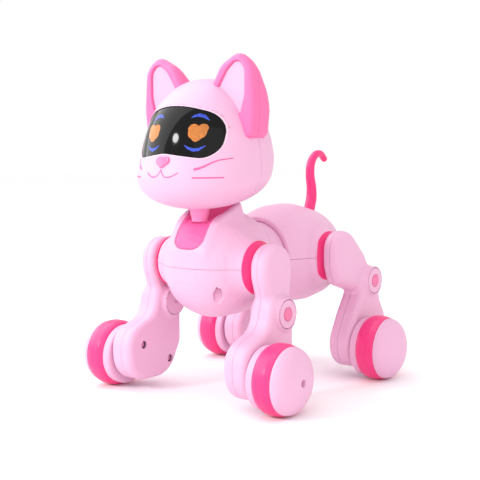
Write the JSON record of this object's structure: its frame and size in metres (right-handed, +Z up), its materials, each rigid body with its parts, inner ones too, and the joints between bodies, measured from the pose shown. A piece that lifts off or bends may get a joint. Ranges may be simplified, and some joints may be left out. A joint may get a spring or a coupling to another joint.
{
  "type": "robot cat toy",
  "caption": "Walking and rolling robot cat toy: egg-shaped head with pointed ears and a black visor face, jointed legs ending in motor wheels, curled tail.",
  "frame": {"origin": "on the floor, under the middle of the toy's outer box", "axes": "+X towards the cat's left side, +Y towards its tail (it looks along -Y), +Z up"},
  "size_m": [0.2026, 0.2205, 0.2578],
  "materials": {
    "shell_pink": "semi-gloss pale pink moulded ABS",
    "hot_pink_plastic": "satin hot pink moulded plastic",
    "rose_plastic": "satin rose moulded plastic",
    "bib_pink": "satin rose pink moulded plastic",
    "ear_pink": "semi-gloss pink moulded plastic",
    "nose_pink": "glossy pink moulded plastic",
    "tyre_pink": "matte hot pink soft rubber",
    "visor_black": "glossy smoked black acrylic",
    "circuit_board": "green circuit board laminate",
    "speaker_black": "black paper cone in a plastic basket",
    "battery_wrap": "blue shrink wrap over cells",
    "motor_steel": "satin motor casing",
    "screw_steel": "zinc-plated screws"
  },
  "bodies": {
    "chassis": {"front_left_hip_disc": "hot_pink_plastic", "front_right_hip_disc": "hot_pink_plastic", "rear_left_hip_disc": "hot_pink_plastic", "rear_right_hip_disc": "hot_pink_plastic", "chest_upper_shell": "shell_pink", "chest_lower_shell": "shell_pink", "bib_panel": "bib_pink", "rump_upper_shell": "shell_pink", "rump_lower_shell": "shell_pink", "battery_door": "shell_pink", "battery_pack": "battery_wrap", "main_board": "circuit_board", "hip_gearmotors": "motor_steel", "head_gearmotor": "motor_steel", "body_screws": "screw_steel"},
    "head": {"head_front_shell": "shell_pink", "head_back_shell": "shell_pink", "visor": "visor_black", "eye_display": "circuit_board", "nose": "nose_pink", "neck_post": "hot_pink_plastic", "speaker": "speaker_black", "left_ear_shell": "ear_pink", "left_ear_insert": "shell_pink", "right_ear_shell": "ear_pink", "right_ear_insert": "shell_pink"},
    "tail": {"tail": "hot_pink_plastic"},
    "power_slider": {"power_switch": "hot_pink_plastic"},
    "front_left_leg": {"front_left_leg_inner_shell": "shell_pink", "front_left_leg_outer_shell": "shell_pink", "front_left_knee_caps": "rose_plastic", "front_left_wheel_gearmotor": "motor_steel", "front_left_leg_screws": "screw_steel"},
    "front_left_wheel": {"front_left_wheel_hub": "shell_pink", "front_left_tyre": "tyre_pink", "front_left_wheel_cap": "shell_pink"},
    "front_right_leg": {"front_right_leg_inner_shell": "shell_pink", "front_right_leg_outer_shell": "shell_pink", "front_right_knee_caps": "rose_plastic", "front_right_wheel_gearmotor": "motor_steel", "front_right_leg_screws": "screw_steel"},
    "front_right_wheel": {"front_right_wheel_hub": "shell_pink", "front_right_tyre": "tyre_pink", "front_right_wheel_cap": "shell_pink"},
    "rear_left_leg": {"rear_left_leg_inner_shell": "shell_pink", "rear_left_leg_outer_shell": "shell_pink", "rear_left_knee_caps": "rose_plastic", "rear_left_wheel_gearmotor": "motor_steel", "rear_left_leg_screws": "screw_steel"},
    "rear_left_wheel": {"rear_left_wheel_hub": "shell_pink", "rear_left_tyre": "tyre_pink", "rear_left_wheel_cap": "shell_pink"},
    "rear_right_leg": {"rear_right_leg_inner_shell": "shell_pink", "rear_right_leg_outer_shell": "shell_pink", "rear_right_knee_caps": "rose_plastic", "rear_right_wheel_gearmotor": "motor_steel", "rear_right_leg_screws": "screw_steel"},
    "rear_right_wheel": {"rear_right_wheel_hub": "shell_pink", "rear_right_tyre": "tyre_pink", "rear_right_wheel_cap": "shell_pink"}
  },
  "joints": [
    {"name": "head_turn", "type": "hinge", "parent": "chassis", "child": "head", "pos_m": [0, -0.066, 0.13], "axis": [0, 0, 1], "range_deg": [-35, 35]},
    {"name": "front_left_hip", "type": "hinge", "parent": "chassis", "child": "front_left_leg", "pos_m": [0.036, -0.049, 0.1005], "axis": [1, 0, 0], "range_deg": [-35, 20]},
    {"name": "front_left_wheel_spin", "type": "hinge", "parent": "front_left_leg", "child": "front_left_wheel", "pos_m": [0.06, -0.076, 0.026], "axis": [1, 0, 0], "continuous": true},
    {"name": "front_right_hip", "type": "hinge", "parent": "chassis", "child": "front_right_leg", "pos_m": [-0.036, -0.049, 0.1005], "axis": [1, 0, 0], "range_deg": [-35, 20]},
    {"name": "front_right_wheel_spin", "type": "hinge", "parent": "front_right_leg", "child": "front_right_wheel", "pos_m": [-0.06, -0.076, 0.026], "axis": [1, 0, 0], "continuous": true},
    {"name": "rear_left_hip", "type": "hinge", "parent": "chassis", "child": "rear_left_leg", "pos_m": [0.036, 0.0485, 0.1005], "axis": [1, 0, 0], "range_deg": [-20, 25]},
    {"name": "rear_left_wheel_spin", "type": "hinge", "parent": "rear_left_leg", "child": "rear_left_wheel", "pos_m": [0.06, 0.064, 0.026], "axis": [1, 0, 0], "continuous": true},
    {"name": "rear_right_hip", "type": "hinge", "parent": "chassis", "child": "rear_right_leg", "pos_m": [-0.036, 0.0485, 0.1005], "axis": [1, 0, 0], "range_deg": [-20, 25]},
    {"name": "rear_right_wheel_spin", "type": "hinge", "parent": "rear_right_leg", "child": "rear_right_wheel", "pos_m": [-0.06, 0.064, 0.026], "axis": [1, 0, 0], "continuous": true},
    {"name": "tail_swivel", "type": "hinge", "parent": "chassis", "child": "tail", "pos_m": [0, 0.0825, 0.13], "axis": [0, 0, 1], "range_deg": [-45, 45]},
    {"name": "power_slide", "type": "slide", "parent": "chassis", "child": "power_slider", "axis": [0, 1, 0], "range_m": [0, 0.003]}
  ]
}
